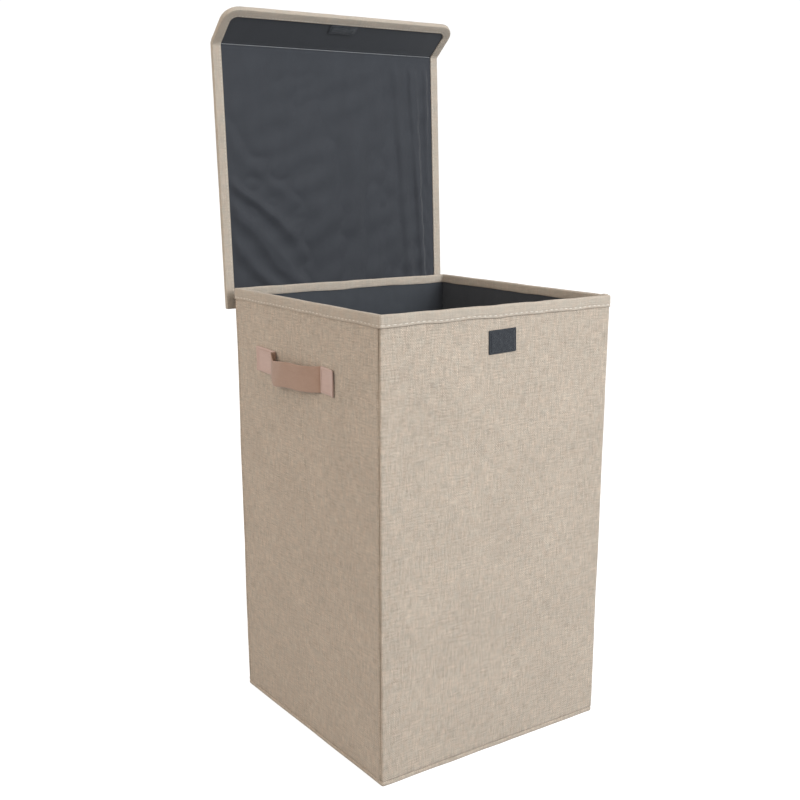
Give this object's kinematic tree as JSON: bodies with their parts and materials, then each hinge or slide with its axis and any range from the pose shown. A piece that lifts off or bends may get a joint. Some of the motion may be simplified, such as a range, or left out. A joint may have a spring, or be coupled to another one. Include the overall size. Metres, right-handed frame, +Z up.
{
  "type": "laundry hamper with lid",
  "caption": "Tall square fabric-covered laundry hamper with a hinged lid and front flap, side handles, a lift-up base board and side panels that fold inwards.",
  "frame": {"origin": "middle of the underside, on the floor", "axes": "+Z up, -Y towards the front with the closure patch, +X to the right seen from the front"},
  "size_m": [0.3932, 0.4017, 0.9682],
  "materials": {
    "linen_cover": "woven faux linen, matt, with slubs",
    "rim_binding": "the same linen-look cloth folded as a binding, stitched",
    "lid_binding": "the same cloth as a bias binding",
    "wall_lining": "dark grey thin woven lining",
    "lid_lining": "dark blue-grey thin woven lining",
    "board": "grey paperboard, hidden by the fabric",
    "handle_strap": "soft tan suede-like webbing, stitched",
    "hook_and_loop": "dark grey fuzzy hook-and-loop tape",
    "base_fabric": "plain woven cloth under the base"
  },
  "bodies": {
    "back": {"back_cover": "linen_cover", "back_board": "board", "back_lining": "wall_lining", "back_rim_binding": "rim_binding", "bottom_fabric": "base_fabric", "bottom_welt": "rim_binding", "lid_hinge_tape": "linen_cover"},
    "base": {"base_board": "board", "base_lining": "wall_lining", "base_underside": "base_fabric"},
    "left_rear": {"left_rear_cover": "linen_cover", "left_rear_board": "board", "left_rear_lining": "wall_lining", "left_rear_rim_binding": "rim_binding", "left_handle_rear_end": "handle_strap", "left_handle_strap": "handle_strap"},
    "left_front": {"left_front_cover": "linen_cover", "left_front_board": "board", "left_front_lining": "wall_lining", "left_front_rim_binding": "rim_binding", "left_handle_front_end": "handle_strap"},
    "front": {"front_cover": "linen_cover", "front_board": "board", "front_lining": "wall_lining", "front_rim_binding": "rim_binding", "front_loop_patch": "hook_and_loop"},
    "right_rear": {"right_rear_cover": "linen_cover", "right_rear_board": "board", "right_rear_lining": "wall_lining", "right_rear_rim_binding": "rim_binding", "right_handle_rear_end": "handle_strap", "right_handle_strap": "handle_strap"},
    "right_front": {"right_front_cover": "linen_cover", "right_front_board": "board", "right_front_lining": "wall_lining", "right_front_rim_binding": "rim_binding", "right_handle_front_end": "handle_strap"},
    "lid": {"lid_cover": "linen_cover", "lid_board": "board", "lid_lining": "lid_lining", "lid_binding": "lid_binding"},
    "flap": {"flap_cover": "linen_cover", "flap_board": "board", "flap_lining": "lid_lining", "flap_binding": "lid_binding", "flap_hook_patch": "hook_and_loop"}
  },
  "joints": [
    {"name": "base_lift", "type": "hinge", "parent": "back", "child": "base", "pos_m": [0, 0.1778, 0.0055], "axis": [-1, 0, 0], "range_deg": [0, 90]},
    {"name": "wall_fold", "type": "hinge", "parent": "back", "child": "left_rear", "pos_m": [-0.1768, 0.1728, 0], "axis": [0, 0, 1], "range_deg": [0, 84]},
    {"name": "left_crease", "type": "hinge", "parent": "left_rear", "child": "left_front", "pos_m": [-0.1838, 0, 0], "axis": [0, 0, 1], "range_deg": [-168, 0], "deforming": ["left_handle_strap"]},
    {"name": "front_corner", "type": "hinge", "parent": "left_front", "child": "front", "pos_m": [-0.1768, -0.1728, 0], "axis": [0, 0, 1], "range_deg": [0, 84]},
    {"name": "right_corner", "type": "hinge", "parent": "back", "child": "right_rear", "pos_m": [0.1768, 0.1728, 0], "axis": [0, 0, 1], "range_deg": [-84, 0]},
    {"name": "right_crease", "type": "hinge", "parent": "right_rear", "child": "right_front", "pos_m": [0.1838, 0, 0], "axis": [0, 0, 1], "range_deg": [0, 168], "deforming": ["right_handle_strap"]},
    {"name": "lid_hinge", "type": "hinge", "parent": "back", "child": "lid", "pos_m": [0, 0.1655, 0.57478], "axis": [1, 0, 0], "range_deg": [0, 93.2], "deforming": ["lid_hinge_tape"]},
    {"name": "flap_fold", "type": "hinge", "parent": "lid", "child": "flap", "pos_m": [0, 0.21088, 0.92399], "axis": [1, 0, 0], "range_deg": [-52, 38]}
  ],
  "couplings": [
    {"joint": "left_crease", "follows": "wall_fold", "ratio": -2},
    {"joint": "front_corner", "follows": "wall_fold", "ratio": 1},
    {"joint": "right_corner", "follows": "wall_fold", "ratio": -1},
    {"joint": "right_crease", "follows": "wall_fold", "ratio": 2}
  ]
}
